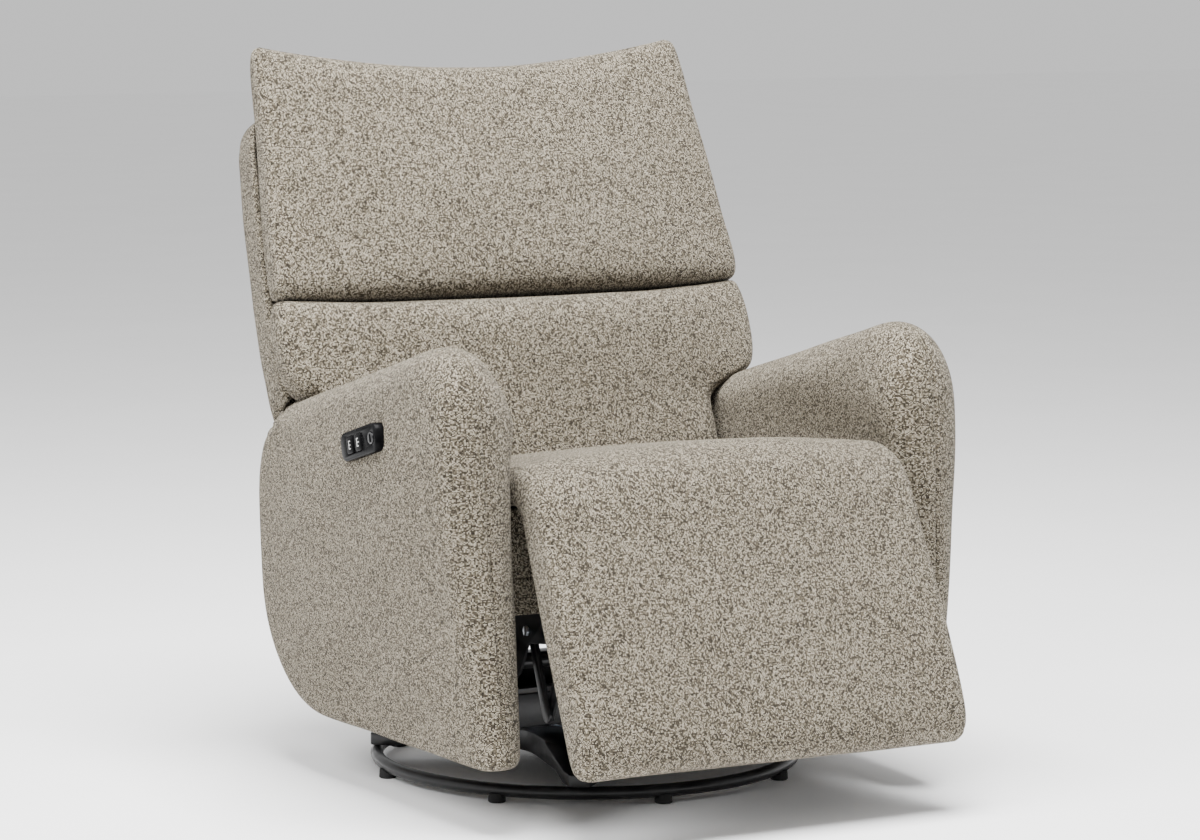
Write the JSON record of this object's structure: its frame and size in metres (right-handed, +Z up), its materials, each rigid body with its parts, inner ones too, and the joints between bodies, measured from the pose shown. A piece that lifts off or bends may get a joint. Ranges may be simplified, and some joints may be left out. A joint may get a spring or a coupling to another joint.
{
  "type": "swivel glider recliner chair",
  "caption": "Upholstered nursery armchair that swivels on a floor ring, glides on hanging links, reclines and lifts a one-piece padded footrest from a side switch.",
  "frame": {"origin": "floor level, at the middle of the overall footprint", "axes": "+Z up, -Y the way the sitter faces, +X the sitter's left"},
  "size_m": [0.8507, 0.9728, 1.0229],
  "materials": {
    "taupe_fabric": "matte",
    "black_steel": "gloss",
    "black_plastic": "satin",
    "foot_rubber": "matte",
    "frame_wood": "matte",
    "zinc_steel": "satin",
    "deck_cloth": "matte"
  },
  "bodies": {
    "base": {"base_ring": "black_steel", "base_cross": "black_steel", "bearing_lower": "zinc_steel", "foot_1": "foot_rubber", "foot_2": "foot_rubber", "foot_3": "foot_rubber", "foot_4": "foot_rubber", "foot_5": "foot_rubber", "foot_6": "foot_rubber", "foot_7": "foot_rubber", "foot_8": "foot_rubber"},
    "turntable": {"bearing_upper": "black_steel", "glider_beam_front": "black_steel", "glider_beam_rear": "black_steel", "glider_side_left": "black_steel", "glider_side_right": "black_steel"},
    "seat": {"seat_rail_left": "black_steel", "seat_rail_right": "black_steel", "cross_tube_front": "black_steel", "cross_tube_rear": "black_steel", "seat_box": "frame_wood", "seat_deck": "deck_cloth", "seat_apron": "taupe_fabric", "seat_cushion": "taupe_fabric", "knee_fold": "taupe_fabric", "arm_left": "taupe_fabric", "arm_right": "taupe_fabric", "switch_bezel": "black_plastic", "usb_port": "black_plastic", "motor_housing": "black_plastic", "actuator_spindle": "zinc_steel", "power_inlet": "black_plastic"},
    "footrest": {"footrest_board": "frame_wood", "footrest_pad": "taupe_fabric", "footrest_crank_left": "black_steel", "footrest_crank_right": "black_steel"},
    "back": {"back_shell": "taupe_fabric", "back_frame": "frame_wood", "lumbar_pad": "taupe_fabric", "recline_plate_left": "black_steel", "recline_plate_right": "black_steel", "head_hinge_rod": "zinc_steel"},
    "head": {"head_pad": "taupe_fabric", "head_board": "frame_wood", "head_arm_left": "zinc_steel", "head_arm_right": "zinc_steel"},
    "nut": {"actuator_nut": "black_plastic"},
    "button_raise": {"button_raise": "black_plastic"},
    "button_lower": {"button_lower": "black_plastic"},
    "stay_left": {"footrest_stay_left": "black_steel"},
    "tie_left": {"footrest_tie_left": "black_steel"},
    "swing_front_left": {"swing_link_front_left": "black_steel"},
    "swing_rear_left": {"swing_link_rear_left": "black_steel"},
    "stay_right": {"footrest_stay_right": "black_steel"},
    "tie_right": {"footrest_tie_right": "black_steel"},
    "swing_front_right": {"swing_link_front_right": "black_steel"},
    "swing_rear_right": {"swing_link_rear_right": "black_steel"}
  },
  "joints": [
    {"name": "swivel", "type": "hinge", "parent": "base", "child": "turntable", "pos_m": [0, 0.0775, 0], "axis": [0, 0, 1], "continuous": true},
    {"name": "glide", "type": "hinge", "parent": "turntable", "child": "swing_front_left", "pos_m": [0, -0.0625, 0.238], "axis": [1, 0, 0], "range_deg": [-20, 20]},
    {"name": "seat_hang", "type": "hinge", "parent": "swing_front_left", "child": "seat", "pos_m": [0, -0.0625, 0.138], "axis": [1, 0, 0], "range_deg": [-20, 20]},
    {"name": "swing_front_right_hinge", "type": "hinge", "parent": "turntable", "child": "swing_front_right", "pos_m": [0, -0.0625, 0.238], "axis": [1, 0, 0], "range_deg": [-20, 20]},
    {"name": "swing_rear_left_hinge", "type": "hinge", "parent": "turntable", "child": "swing_rear_left", "pos_m": [0, 0.2175, 0.238], "axis": [1, 0, 0], "range_deg": [-20, 20]},
    {"name": "swing_rear_right_hinge", "type": "hinge", "parent": "turntable", "child": "swing_rear_right", "pos_m": [0, 0.2175, 0.238], "axis": [1, 0, 0], "range_deg": [-20, 20]},
    {"name": "footrest_lift", "type": "hinge", "parent": "seat", "child": "footrest", "pos_m": [0, -0.2575, 0.405], "axis": [-1, 0, 0], "range_deg": [-22, 60], "deforming": ["knee_fold"]},
    {"name": "stay_left_hinge", "type": "hinge", "parent": "seat", "child": "stay_left", "pos_m": [0, -0.1825, 0.25], "axis": [-1, 0, 0], "range_deg": [-22, 60]},
    {"name": "tie_left_hinge", "type": "hinge", "parent": "footrest", "child": "tie_left", "pos_m": [0, -0.30204, 0.29544], "axis": [-1, 0, 0], "range_deg": [-60, 22]},
    {"name": "stay_right_hinge", "type": "hinge", "parent": "seat", "child": "stay_right", "pos_m": [0, -0.1825, 0.25], "axis": [-1, 0, 0], "range_deg": [-22, 60]},
    {"name": "tie_right_hinge", "type": "hinge", "parent": "footrest", "child": "tie_right", "pos_m": [0, -0.30204, 0.29544], "axis": [-1, 0, 0], "range_deg": [-60, 22]},
    {"name": "actuator_travel", "type": "slide", "parent": "seat", "child": "nut", "axis": [0, -1, 0], "range_m": [-0.02122, 0.0577]},
    {"name": "recline", "type": "hinge", "parent": "seat", "child": "back", "pos_m": [0, 0.2625, 0.345], "axis": [-1, 0, 0], "range_deg": [0, 35]},
    {"name": "head_tilt", "type": "hinge", "parent": "back", "child": "head", "pos_m": [0, 0.3011, 0.66802], "axis": [1, 0, 0], "range_deg": [0, 25]},
    {"name": "button_raise_press", "type": "slide", "parent": "seat", "child": "button_raise", "axis": [1, 0, 0], "range_m": [0, 0.0014], "stiffness_N_per_m": 500, "springref_m": -0.0005},
    {"name": "button_lower_press", "type": "slide", "parent": "seat", "child": "button_lower", "axis": [1, 0, 0], "range_m": [0, 0.0014], "stiffness_N_per_m": 500, "springref_m": -0.0005}
  ],
  "couplings": [
    {"joint": "seat_hang", "follows": "glide", "ratio": -1},
    {"joint": "swing_front_right_hinge", "follows": "glide", "ratio": 1},
    {"joint": "swing_rear_left_hinge", "follows": "glide", "ratio": 1},
    {"joint": "swing_rear_right_hinge", "follows": "glide", "ratio": 1},
    {"joint": "stay_left_hinge", "follows": "footrest_lift", "ratio": 1},
    {"joint": "tie_left_hinge", "follows": "footrest_lift", "ratio": -1},
    {"joint": "stay_right_hinge", "follows": "footrest_lift", "ratio": 1},
    {"joint": "tie_right_hinge", "follows": "footrest_lift", "ratio": -1},
    {"joint": "actuator_travel", "follows": "footrest_lift", "m_per_rad": 0.055}
  ]
}
